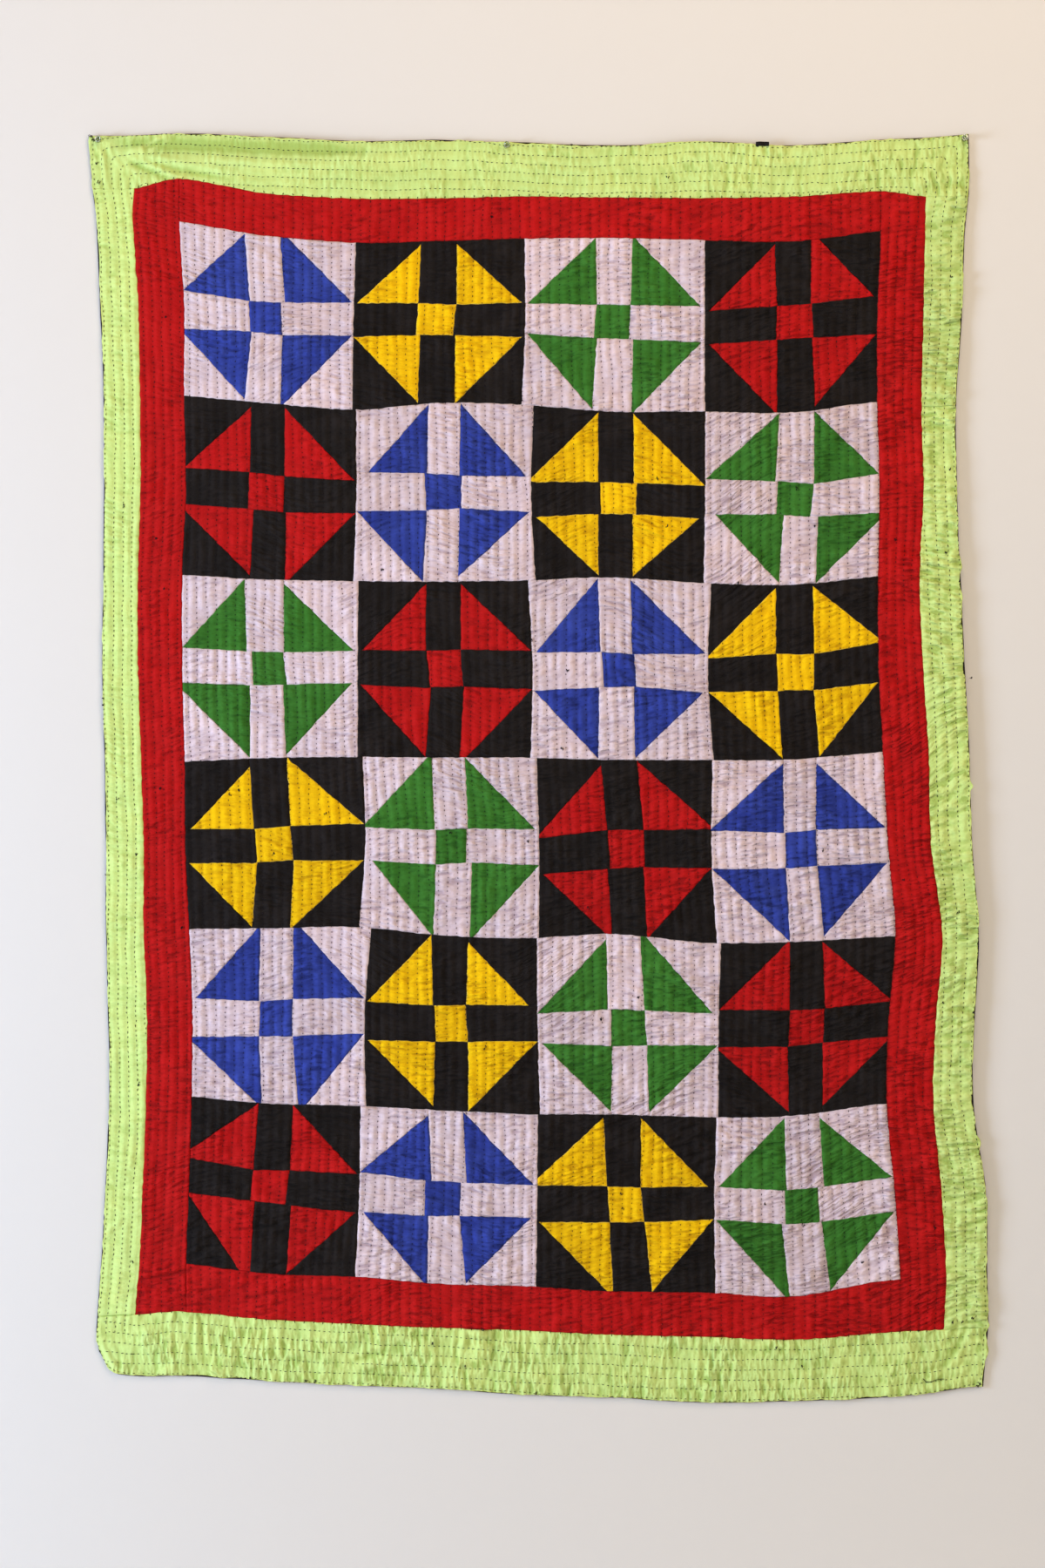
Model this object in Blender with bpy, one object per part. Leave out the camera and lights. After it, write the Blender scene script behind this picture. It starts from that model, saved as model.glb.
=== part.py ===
"""A ralli quilt, hung flat on three clear push pins.

The quilt is 24 pieced blocks in a red border and a lime border over one black backing cloth. Each block,
border strip and backing is a thin solid with the quilt's own uneven seams, its slow swell away from the
wall, and a soft ridge between each two rows of running stitch.

Sizes are in millimetres. X runs to the right, Z up, and the quilt faces -Y. The origin is the point where
the middle pin enters the wall, and the wall is the plane Y = 0.
"""

import math

import bmesh
import bpy

MM = 0.001

# Layers, from the wall outwards.
WALL_GAP = 1.5
BACKING = 1.0
BETWEEN = 0.5
TOP = 1.6
RIDGE = 1.4
SEAM_GAP = 0.3
BACKING_SHOWS = 1.6

# How far the hung quilt swells away from the wall: between the pins, down its middle, at its right edge.
SWELL_AT_TOP = 4.5
SWELL_IN_MIDDLE = 6.0
LIFT_AT_EDGE = 6.0
LIFT_STARTS = 600
LIFT_WIDTH = 140
DROP = 2000

# Rows of running stitch across each block and border strip, and columns of blocks.
BLOCK_STITCH_ROWS = 18
RED_SIDE_STITCH_ROWS = 5
RED_END_STITCH_ROWS = 72
LIME_SIDE_STITCH_ROWS = 4
LIME_END_STITCH_ROWS = 6
BLOCK_ROWS = 6
BLOCK_COLUMNS = 4

# Where the seams that run across are measured, from the left edge to the right edge.
STATIONS = (-671, -599, -526, -390, -242, -108, 28, 165, 318, 459, 601, 673, 741)

# Height of each edge or seam at those stations.
TOP_EDGE = (15, 16, 18, 13, 6, 8, 4, -1, 5, -1, 9, 12, 18)
LIME_TOP_SEAM = (-69, -69, -54, -77, -86, -85, -82, -84, -85, -83, -74, -82, -82)
ROW_SEAMS = (
    (-112, -112, -122, -145, -157, -154, -150, -149, -153, -155, -138, -136, -136),
    (-400, -400, -402, -414, -425, -414, -417, -428, -428, -429, -412, -420, -415),
    (-690, -690, -690, -697, -700, -701, -699, -694, -703, -706, -692, -690, -690),
    (-992, -992, -990, -984, -982, -983, -983, -987, -987, -986, -974, -972, -972),
    (-1258, -1258, -1258, -1257, -1255, -1268, -1273, -1266, -1280, -1279, -1271, -1270, -1270),
    (-1524, -1524, -1526, -1538, -1542, -1549, -1555, -1556, -1560, -1558, -1539, -1536, -1536),
    (-1790, -1790, -1794, -1811, -1817, -1828, -1832, -1840, -1842, -1848, -1824, -1820, -1820),
)
LIME_BOTTOM_SEAM = (
    -1880, -1878, -1873, -1885, -1893, -1899, -1903, -1910, -1913, -1918, -1907, -1903, -1899,
)
BOTTOM_EDGE = (
    -1955, -1975, -1975, -1983, -1991, -1996, -2006, -2010, -2018, -2016, -2010, -2004, -1993,
)

# The long seams and edges that run down, at each level: the two edges, the border seams, and every row
# seam with the middle of each row between.
LEVELS = (
    # left edge, lime to red, red to blocks, blocks to red, red to lime, right edge
    (-671, -599, -526, 601, 673, 741),
    (-665, -599, -526, 601, 673, 741),
    (-659, -601, -526, 601, 672, 734),
    (-652, -592, -518, 595, 669, 730),
    (-647, -589, -518, 595, 666, 720),
    (-646, -588, -515, 598, 669, 722),
    (-647, -592, -521, 596, 663, 727),
    (-649, -592, -521, 597, 668, 734),
    (-645, -587, -517, 604, 677, 741),
    (-643, -583, -516, 612, 681, 746),
    (-643, -583, -510, 624, 699, 756),
    (-639, -578, -505, 613, 689, 750),
    (-638, -579, -506, 610, 685, 748),
    (-643, -584, -510, 623, 698, 768),
    (-650, -590, -515, 632, 706, 771),
    (-657, -597, -526, 632, 702, 772),
    (-640, -597, -526, 632, 702, 764),
)
LEFT_EDGE, LEFT_LIME, LEFT_BLOCKS, RIGHT_BLOCKS, RIGHT_LIME, RIGHT_EDGE = range(6)
TOP_LEVEL, LIME_TOP_LEVEL, FIRST_ROW_LEVEL = 0, 1, 2
LAST_ROW_LEVEL, LIME_BOTTOM_LEVEL, BOTTOM_LEVEL = 14, 15, 16

# The three seams between the blocks of each row, at the row's top, middle and bottom.
BLOCK_SEAMS = (
    ((-242, -246, -248), (28, 29, 24), (318, 318, 318)),
    ((-242, -242, -246), (43, 39, 46), (318, 318, 316)),
    ((-238, -239, -239), (34, 41, 38), (328, 323, 332)),
    ((-232, -227, -237), (48, 52, 52), (330, 328, 337)),
    ((-218, -228, -226), (48, 49, 53), (344, 340, 340)),
    ((-235, -237, -244), (50, 49, 47), (336, 333, 335)),
)

# The borders are pieced from shorter strips, which meet at these levels and at this place.
RIGHT_LIME_JOINS = (4, 9.2)
BOTTOM_LIME_JOIN = 165

# A station nearer than this to the end of a strip is left out of its columns.
STATION_MARGIN = 9

# The colour of a block's ground for each colour of figure, and the figures in the order that they repeat.
GROUND = {"blue": "lilac", "yellow": "black", "green": "lilac", "red": "black"}
FIGURES = ("blue", "yellow", "green", "red")

# Push pins: where each one goes in, and its clear head and steel needle.
PINS = {"left": (-656, 9), "middle": (0, 0), "right": (735, 11)}
HEAD_PROFILE = (  # radius, height above the cloth
    (1.0, 0.0),
    (4.6, 0.0),
    (4.9, 0.5),
    (4.6, 1.1),
    (3.1, 2.0),
    (2.6, 5.5),
    (3.0, 8.6),
    (4.4, 9.6),
    (4.7, 10.6),
    (4.2, 11.6),
    (0.0, 12.0),
)
NEEDLE_RADIUS = 0.6
NEEDLE_BORE_DEPTH = 6.0
NEEDLE_IN_WALL = 7.0
NEEDLE_TAPER = 3.0
HOLE_RADIUS = 1.0
HOLE_ENDS = (30, -5)

COLOURS = {
    "lime": (0.60, 0.78, 0.22),
    "red": (0.55, 0.02, 0.02),
    "blue": (0.03, 0.06, 0.36),
    "yellow": (0.75, 0.48, 0.0),
    "green": (0.06, 0.25, 0.04),
    "lilac": (0.62, 0.54, 0.60),
    "black": (0.015, 0.015, 0.015),
    "clear plastic": (0.85, 0.88, 0.90),
    "steel": (0.60, 0.60, 0.62),
}


def mix(a, b, share):
    return a + (b - a) * share


def straight(places, values, at):
    """The value at a place, straight from each station to the next and on past the ends."""
    last = len(places) - 2
    k = next((i for i in range(last) if at <= places[i + 1]), last)
    return mix(values[k], values[k + 1], (at - places[k]) / (places[k + 1] - places[k]))


def smooth(places, values, at):
    """The value at a place, on a soft curve through the stations."""
    at = min(max(at, places[0]), places[-1])
    last = len(places) - 2
    k = next((i for i in range(last) if at <= places[i + 1]), last)
    span = places[k + 1] - places[k]

    def slope(i):
        before, after = max(i - 1, 0), min(i + 1, last + 1)
        return (values[after] - values[before]) / (places[after] - places[before])

    t = (at - places[k]) / span
    rise = values[k + 1] - values[k]
    start, end = slope(k) * span, slope(k + 1) * span
    return values[k] + t * (start + t * (3 * rise - 2 * start - end + t * (start + end - 2 * rise)))


def level_height(level, x):
    """The height of a level at x. Whole levels are seams and row middles, and others lie between."""
    if level != int(level):
        below = int(level)
        return mix(level_height(below, x), level_height(below + 1, x), level - below)
    if level <= LIME_TOP_LEVEL:
        return straight(STATIONS, TOP_EDGE if level == TOP_LEVEL else LIME_TOP_SEAM, x)
    if level >= LIME_BOTTOM_LEVEL:
        return straight(STATIONS, BOTTOM_EDGE if level == BOTTOM_LEVEL else LIME_BOTTOM_SEAM, x)
    row, half = divmod(int(level) - FIRST_ROW_LEVEL, 2)
    seam = smooth(STATIONS, ROW_SEAMS[row], x)
    return (seam + smooth(STATIONS, ROW_SEAMS[row + 1], x)) / 2 if half else seam


def long_seam(column):
    """A seam that runs down, as a function of level."""
    return lambda level: straight(range(len(LEVELS)), [row[column] for row in LEVELS], level)


def block_seam(row, column):
    """The side of a block: a seam between two blocks, or the border's seam at the ends of the row."""
    if column in (0, BLOCK_COLUMNS):
        return long_seam(RIGHT_BLOCKS if column else LEFT_BLOCKS)
    first = FIRST_ROW_LEVEL + 2 * row
    return lambda level: straight((0, 1, 2), BLOCK_SEAMS[row][column - 1], level - first)


def lie(x, z):
    """How far the quilt's back stands off the wall: close at the pins, with a slow swell between them and
    down the middle, and a right edge that lifts."""
    down = min(max(-z / DROP, 0), 1)
    between_pins = x / PINS["left"][0] if x < 0 else x / PINS["right"][0]
    at_top = SWELL_AT_TOP * math.sin(math.pi * between_pins) ** 2 * math.exp(-down / 0.3)
    middle = SWELL_IN_MIDDLE * math.sin(math.pi * down**0.8) * (0.7 + 0.3 * math.cos(x / 260))
    edge = LIFT_AT_EDGE * (max(x - LIFT_STARTS, 0) / LIFT_WIDTH) ** 2 * math.sin(math.pi * down)
    return WALL_GAP + at_top + middle + edge


def evenly(start, end):
    return lambda share, level: mix(start(level), end(level), share)


def by_stations(start, end):
    """Shares of a strip's length with a whole number of columns between neighbouring stations."""

    def place(share, level):
        first, last = start(level), end(level)
        lowest = start(LIME_TOP_LEVEL) + STATION_MARGIN
        highest = end(LIME_TOP_LEVEL) - STATION_MARGIN
        inner = [station for station in STATIONS if lowest < station < highest]
        marks = [first, *inner, last]
        return straight(range(len(marks)), marks, share * (len(marks) - 1))

    return place


def sheet_points(bm, columns, rows, place, levels, depth):
    """One face of a piece, as a grid laid between its seams. Returns its rim as four chains of edges."""
    made = bmesh.ops.create_grid(bm, x_segments=columns, y_segments=rows, size=0.5)["verts"]
    rims = []
    for axis, end in ((0, -0.5), (0, 0.5), (1, -0.5), (1, 0.5)):
        on_rim = {vert for vert in made if abs(vert.co[axis] - end) < 1e-5}
        rims.append([edge for edge in bm.edges if edge.verts[0] in on_rim and edge.verts[1] in on_rim])
    for vert in made:
        across, down = vert.co.x + 0.5, 0.5 - vert.co.y
        level = straight(range(len(levels)), levels, round(down * rows) / rows * (len(levels) - 1))
        left, right = place(0, level) + SEAM_GAP / 2, place(1, level) - SEAM_GAP / 2
        x = min(max(place(across, level), left), right)
        z = level_height(round(level, 6), x) + SEAM_GAP / 2 * (2 * down - 1)
        vert.co = (x * MM, -depth(x, z, round(across * columns), round(down * rows)) * MM, z * MM)
    return rims


def thin_solid(name, place, levels, front, back, depths, colour):
    """A closed sheet: a fine front and a coarser back with their rims joined."""
    bm = bmesh.new()
    front_rims = sheet_points(bm, *front, place, levels, depths[0])
    front_faces = set(bm.faces)
    back_rims = sheet_points(bm, *back, place, levels, depths[1])
    bmesh.ops.reverse_faces(bm, faces=[face for face in bm.faces if face not in front_faces])
    for near, far in zip(front_rims, back_rims):
        bmesh.ops.bridge_loops(bm, edges=near + far)
    bmesh.ops.triangulate(bm, faces=bm.faces)
    bmesh.ops.recalc_face_normals(bm, faces=bm.faces)
    return finished(name, bm, colour)


def finished(name, bm, colour):
    mesh = bpy.data.meshes.new(name)
    bm.to_mesh(mesh)
    bm.free()
    mesh.materials.append(material(colour))
    obj = bpy.data.objects.new(name, mesh)
    bpy.context.scene.collection.objects.link(obj)
    return obj


def material(colour):
    """Cotton in one colour, or the pins' clear plastic or steel."""
    if colour in bpy.data.materials:
        return bpy.data.materials[colour]
    made = bpy.data.materials.new(colour)
    made.use_nodes = True
    shader = made.node_tree.nodes["Principled BSDF"]
    shader.inputs["Base Color"].default_value = (*COLOURS[colour], 1)
    shader.inputs["Roughness"].default_value = {"clear plastic": 0.1, "steel": 0.3}.get(colour, 0.9)
    shader.inputs["Metallic"].default_value = 1.0 if colour == "steel" else 0.0
    shader.inputs["Transmission Weight"].default_value = 0.8 if colour == "clear plastic" else 0.0
    return made


def quilted_piece(name, place, levels, columns, rows, back, rows_run_down, colour):
    """A top piece with a ridge between its stitch rows, which run down it or along it."""

    def back_depth(x, z, column, row):
        return lie(x, z) + BACKING + BETWEEN

    def front_depth(x, z, column, row):
        ridge = RIDGE * (0.85 + 0.15 * math.sin(x / 41 + z / 67))
        raised = (column if rows_run_down else row) % 2
        return back_depth(x, z, column, row) + TOP + ridge * raised

    return thin_solid(name, place, levels, (columns, rows), back, (front_depth, back_depth), colour)


def blocks():
    for row in range(BLOCK_ROWS):
        first = FIRST_ROW_LEVEL + 2 * row
        levels = (first, first + 1, first + 2)
        for column in range(BLOCK_COLUMNS):
            place = evenly(block_seam(row, column), block_seam(row, column + 1))
            colour = GROUND[FIGURES[(column - row) % len(FIGURES)]]
            name = f"block_r{row + 1}_c{column + 1}"
            quilted_piece(name, place, levels, 2 * BLOCK_STITCH_ROWS, 2, (12, 2), True, colour)


def red_border():
    levels = range(LIME_TOP_LEVEL, LIME_BOTTOM_LEVEL + 1)
    rows = len(levels) - 1
    columns = 2 * RED_SIDE_STITCH_ROWS
    for side, outer, inner in (("left", LEFT_LIME, LEFT_BLOCKS), ("right", RIGHT_BLOCKS, RIGHT_LIME)):
        place = evenly(long_seam(outer), long_seam(inner))
        quilted_piece(f"red_{side}", place, levels, columns, rows, (2, rows), True, "red")
    place = by_stations(long_seam(LEFT_BLOCKS), long_seam(RIGHT_BLOCKS))
    columns = 2 * RED_END_STITCH_ROWS
    ends = {"top": (LIME_TOP_LEVEL, FIRST_ROW_LEVEL), "bottom": (LAST_ROW_LEVEL, LIME_BOTTOM_LEVEL)}
    for end, levels in ends.items():
        quilted_piece(f"red_{end}", place, levels, columns, 1, (48, 1), True, "red")


def lime_border():
    left_edge, right_edge = long_seam(LEFT_EDGE), long_seam(RIGHT_EDGE)
    rows = 2 * LIME_END_STITCH_ROWS
    levels = (TOP_LEVEL, LIME_TOP_LEVEL)
    place = by_stations(left_edge, right_edge)
    top = quilted_piece("lime_top", place, levels, 24, rows, (24, 2), False, "lime")

    def join(level):
        return BOTTOM_LIME_JOIN

    levels = (LIME_BOTTOM_LEVEL, BOTTOM_LEVEL)
    for side, start, end, columns in (("left", left_edge, join, 14), ("right", join, right_edge, 10)):
        place = by_stations(start, end)
        name = f"lime_bottom_{side}"
        quilted_piece(name, place, levels, columns, rows, (columns, 2), False, "lime")

    upper, lower = RIGHT_LIME_JOINS
    right = (long_seam(RIGHT_LIME), right_edge)
    strips = (
        ("left", (left_edge, long_seam(LEFT_LIME)), range(LIME_TOP_LEVEL, LIME_BOTTOM_LEVEL + 1)),
        ("right_upper", right, range(LIME_TOP_LEVEL, upper + 1)),
        ("right_middle", right, (*range(upper, math.ceil(lower)), lower)),
        ("right_lower", right, (lower, *range(math.ceil(lower), LIME_BOTTOM_LEVEL + 1))),
    )
    columns = 2 * LIME_SIDE_STITCH_ROWS
    for name, sides, levels in strips:
        rows = len(levels) - 1
        quilted_piece(f"lime_{name}", evenly(*sides), levels, columns, rows, (2, rows), True, "lime")
    return top


def backing_cloth():
    """The black cloth behind, cut a little larger, so that a thin uneven line of it shows all round."""

    def left(level):
        return long_seam(LEFT_EDGE)(level) - BACKING_SHOWS * (1 + 0.5 * math.sin(level * 1.7))

    def right(level):
        return long_seam(RIGHT_EDGE)(level) + BACKING_SHOWS * (1 + 0.6 * math.sin(level * 2.1))

    def wall_side(x, z, column, row):
        return lie(x, z)

    def quilt_side(x, z, column, row):
        return lie(x, z) + BACKING

    grid = (2 * BOTTOM_LEVEL, BOTTOM_LEVEL)
    levels = range(TOP_LEVEL, BOTTOM_LEVEL + 1)
    return thin_solid("backing", evenly(left, right), levels, grid, grid, (quilt_side, wall_side), "black")


def turned(name, profile, steps, place, colour):
    """A piece turned about the pin's axis. The profile gives its radius and its height off the wall."""
    bm = bmesh.new()
    x, z = place
    points = [bm.verts.new(((x + radius) * MM, -height * MM, z * MM)) for radius, height in profile]
    edges = [bm.edges.new(pair) for pair in zip(points, points[1:])]
    centre = (x * MM, 0, z * MM)
    bmesh.ops.spin(
        bm, geom=points + edges, cent=centre, axis=(0, 1, 0), angle=math.tau, steps=steps, use_merge=True
    )
    bmesh.ops.remove_doubles(bm, verts=bm.verts, dist=1e-6)
    bmesh.ops.recalc_face_normals(bm, faces=bm.faces)
    made = finished(name, bm, colour)
    made.data.shade_smooth()
    return made


def push_pins(pierced):
    for side, place in PINS.items():
        cloth = lie(*place) + BACKING + BETWEEN + TOP + RIDGE + SEAM_GAP
        bore = cloth + NEEDLE_BORE_DEPTH
        head = [(0.0, bore), (HEAD_PROFILE[0][0], bore)]
        head += [(radius, cloth + height) for radius, height in HEAD_PROFILE]
        turned(f"pin_head_{side}", head, 16, place, "clear plastic")
        needle = [
            (0.0, bore - SEAM_GAP),
            (NEEDLE_RADIUS, bore - SEAM_GAP),
            (NEEDLE_RADIUS, NEEDLE_TAPER - NEEDLE_IN_WALL),
            (0.0, -NEEDLE_IN_WALL),
        ]
        turned(f"pin_needle_{side}", needle, 8, place, "steel")
        front, behind = HOLE_ENDS
        hole_profile = [(0, front), (HOLE_RADIUS, front), (HOLE_RADIUS, behind), (0, behind)]
        hole = turned(f"hole_{side}", hole_profile, 8, place, "steel")
        hole.hide_render = True
        hole.display_type = "WIRE"
        for cloth_piece in pierced:
            cut = cloth_piece.modifiers.new(f"hole_{side}", "BOOLEAN")
            cut.operation = "DIFFERENCE"
            cut.object = hole


def main():
    for obj in list(bpy.data.objects):
        bpy.data.objects.remove(obj)
    blocks()
    red_border()
    top_strip = lime_border()
    push_pins((top_strip, backing_cloth()))


main()
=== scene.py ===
"""The looks of a ralli quilt that hangs flat on three clear push pins.

Sizes are in millimetres unless a name says otherwise. X runs to the right, Z up, and the quilt faces -Y.
The quilt is pieced from 24 blocks in a red and a lime border, laid on a black backing cloth, and worked all
over in rows of running stitch. Every cloth piece is first laid out flat, as a grid of its own between its
seams, then lifted into the quilt's relief: the slow swell in which it hangs, the puffs between the rows,
the fine puckers across them and a few larger folds.
"""

import math
import random

import bmesh
import bpy
import numpy as np
from mathutils import Matrix, Vector


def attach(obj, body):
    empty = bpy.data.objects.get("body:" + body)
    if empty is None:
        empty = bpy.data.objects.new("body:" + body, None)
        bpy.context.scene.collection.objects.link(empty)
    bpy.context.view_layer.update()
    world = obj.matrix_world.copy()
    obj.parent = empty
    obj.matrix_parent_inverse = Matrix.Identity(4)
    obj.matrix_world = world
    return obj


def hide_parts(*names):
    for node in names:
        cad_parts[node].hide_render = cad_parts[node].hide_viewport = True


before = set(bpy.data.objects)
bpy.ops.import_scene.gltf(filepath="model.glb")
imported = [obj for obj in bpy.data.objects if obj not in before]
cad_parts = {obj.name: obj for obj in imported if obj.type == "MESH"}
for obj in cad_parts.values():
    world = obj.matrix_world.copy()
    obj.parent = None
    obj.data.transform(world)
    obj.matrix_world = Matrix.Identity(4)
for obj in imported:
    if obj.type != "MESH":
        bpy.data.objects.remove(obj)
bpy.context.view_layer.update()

MM = 0.001

# Layers, from the wall outwards.
WALL_GAP = 1.5
BACKING = 1.0
LAYERS = BACKING + 0.5 + 1.6  # with the gap between backing and top, and the top's own thickness
BACKING_SHOWS = 1.3

# The slow swell of the hung quilt away from the wall.
SWELL_AT_TOP = 4.5
SWELL_IN_MIDDLE = 6.0
LIFT_AT_EDGE = 6.0
LIFT_STARTS = 600
LIFT_WIDTH = 140
DROP = 2000
PINS = {"left": (-656, 9), "middle": (0, 0), "right": (735, 11)}

# Quilting: rows of running stitch, the puffs between them, and how the edges of the patches are turned in.
ROW_PITCH = 15.3
FIRST_ROW_FROM_EDGE = 2.3
RIM_PITCHES = (14.4, 16.3, 15.0, 16.2)  # left, right, top, bottom
STITCH_PITCH = 7.9
STITCH, THREAD = 3.2, 1.5  # length and width in the blocks and the red
LONG_STITCH, LONG_THREAD = 4.8, 1.4  # and in the lime
MOST_STITCHES = 1200  # in one row round the border
SEWN_AT_ONCE = 20
PUFF, BACK_PUFF = 2.8, 1.1
PUCKER = 3.4
LOWEST = -1.5  # the top never lies deeper than this, or the backing would show through
SEAM_ROLL = 1.1
TURNED_UNDER = 1.6
GRID_ALONG_ROWS, GRID_ACROSS_ROWS = 2.75, 3.8

# Where the seams that run across are measured, from the left edge to the right edge.
STATIONS = (-671, -599, -526, -390, -242, -108, 28, 165, 318, 459, 601, 673, 741)

# Height of each edge or seam at those stations.
TOP_EDGE = (15, 16, 18, 13, 6, 8, 4, -1, 5, -1, 9, 12, 18)
LIME_TOP_SEAM = (-69, -69, -54, -77, -86, -85, -82, -84, -85, -83, -74, -82, -82)
ROW_SEAMS = (
    (-112, -112, -122, -145, -157, -154, -150, -149, -153, -155, -138, -136, -136),
    (-400, -400, -402, -414, -425, -414, -417, -428, -428, -429, -412, -420, -415),
    (-690, -690, -690, -697, -700, -701, -699, -694, -703, -706, -692, -690, -690),
    (-992, -992, -990, -984, -982, -983, -983, -987, -987, -986, -974, -972, -972),
    (-1258, -1258, -1258, -1257, -1255, -1268, -1273, -1266, -1280, -1279, -1271, -1270, -1270),
    (-1524, -1524, -1526, -1538, -1542, -1549, -1555, -1556, -1560, -1558, -1539, -1536, -1536),
    (-1790, -1790, -1794, -1811, -1817, -1828, -1832, -1840, -1842, -1848, -1824, -1820, -1820),
)
LIME_BOTTOM_SEAM = (
    -1880, -1878, -1873, -1885, -1893, -1899, -1903, -1910, -1913, -1918, -1907, -1903, -1899,
)
BOTTOM_EDGE = (
    -1966, -1975, -1975, -1983, -1991, -1996, -2006, -2010, -2018, -2016, -2010, -2004, -1993,
)

# The long seams and edges that run down, at each level: top edge, lime seam, then every row seam with the
# middle of each row between, lime seam, bottom edge.
LEVELS = (
    # left edge, lime to red, red to blocks, blocks to red, red to lime, right edge
    (-671, -599, -526, 601, 673, 741),
    (-665, -599, -526, 601, 673, 741),
    (-659, -601, -526, 601, 672, 734),
    (-652, -592, -518, 595, 669, 730),
    (-647, -589, -518, 595, 666, 720),
    (-646, -588, -515, 598, 669, 722),
    (-647, -592, -521, 596, 663, 727),
    (-649, -592, -521, 597, 668, 734),
    (-645, -587, -517, 604, 677, 741),
    (-643, -583, -516, 612, 681, 746),
    (-643, -583, -510, 624, 699, 756),
    (-639, -578, -505, 613, 689, 750),
    (-638, -579, -506, 610, 685, 748),
    (-643, -584, -510, 623, 698, 768),
    (-650, -590, -515, 632, 706, 771),
    (-657, -597, -515, 632, 702, 772),
    (-624, -597, -515, 632, 702, 764),
)

# The lower left corner is round: height and place of the left edge there.
LEFT_CORNER = ((-1907, -659), (-1928, -657), (-1946, -650), (-1960, -643), (-1967, -636))

# Where the right edge bulges or is nicked: height, how far out, and half its length.
EDGE_BUMPS = (
    (-675, 3, 14), (-724, 2.5, 10), (-765, -2, 9), (-840, -2.5, 8), (-1028, 5, 7), (-1242, 2.5, 16),
    (-1515, -2, 30), (-1600, 4, 8), (-1620, -2, 6), (-1700, 2, 14), (-1894, 3.5, 6), (-1908, -2, 7),
    (-1936, 3.5, 11), (-1975, -2, 12),
)

# Knots where a thread was begun or ended: x and z.
KNOTS = (
    (-659, -29), (-655, -59), (258, -52), (-24, -115), (713, -211), (-547, -276), (-615, -578), (-384, -551),
    (-563, -632), (-550, -713), (242, -537), (258, -612), (97, -843), (88, -969), (-200, -681), (494, -612),
    (624, -633), (704, -654), (711, -521), (465, -552), (726, -700), (421, -570), (372, -703), (-626, -1050),
    (-557, -1032), (-430, -1034), (-444, -1042), (-522, -1256), (-290, -1073), (-374, -1136), (-594, -1138),
    (-591, -1507), (34, -1117), (211, -1367), (151, -1402), (-34, -1448), (130, -1224), (-90, -1102), (636, -1178),
    (724, -1231), (701, -1376), (749, -1393), (507, -1132), (-601, -1792), (-412, -1979), (184, -1683),
    (186, -1706), (-119, -1923), (-67, -1960), (-60, -1822), (-38, -1902), (48, -2004), (414, -1699), (477, -1734),
    (570, -1792), (687, -1738), (715, -1888), (732, -1888), (747, -1883), (433, -1931), (474, -1960),
)

# Tufts of frayed black cotton: x, z, and how far the ends reach.
TUFTS = (
    (-668, 15, 5), (-664, 11, 5), (-322, -1983, 4), (-308, -1984, 4), (-648, -888, 3), (-648, -899, 3),
    (-644, -1171, 3), (-230, -976, 4), (39, -794, 4), (760, -1989, 4), (756, -1992, 4), (745, -855, 3), (104, 1, 3),
)

# A loose end of thread by the lower right corner: x and z along it.
LOOSE_END = ((669, -1981), (673, -1985), (678, -1986), (683, -1985), (690, -1982), (696, -1981), (701, -1981))

# The three seams between the blocks of each row, at the row's top, middle and bottom.
BLOCK_SEAMS = (
    ((-242, -246, -248), (28, 29, 24), (318, 318, 318)),
    ((-242, -242, -246), (43, 39, 46), (318, 318, 316)),
    ((-238, -239, -239), (34, 41, 38), (328, 323, 332)),
    ((-232, -227, -237), (48, 52, 52), (330, 328, 337)),
    ((-218, -228, -226), (48, 49, 53), (344, 340, 340)),
    ((-235, -237, -244), (50, 49, 47), (336, 333, 335)),
)

# Joins between two strips of lime: at which levels on the right, at which x along the bottom, and the height
# of the one join that shows.
RIGHT_LIME_JOINS = (4, 9.2)
BOTTOM_LIME_JOIN = 165
PLAIN_JOIN = -424

# Where each block's own sizes are measured from: its column's left side and its row's top.
COLUMN_STARTS = (-518, -241, 42, 328)
ROW_STARTS = (-141, -421, -701, -986, -1266, -1546)

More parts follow.
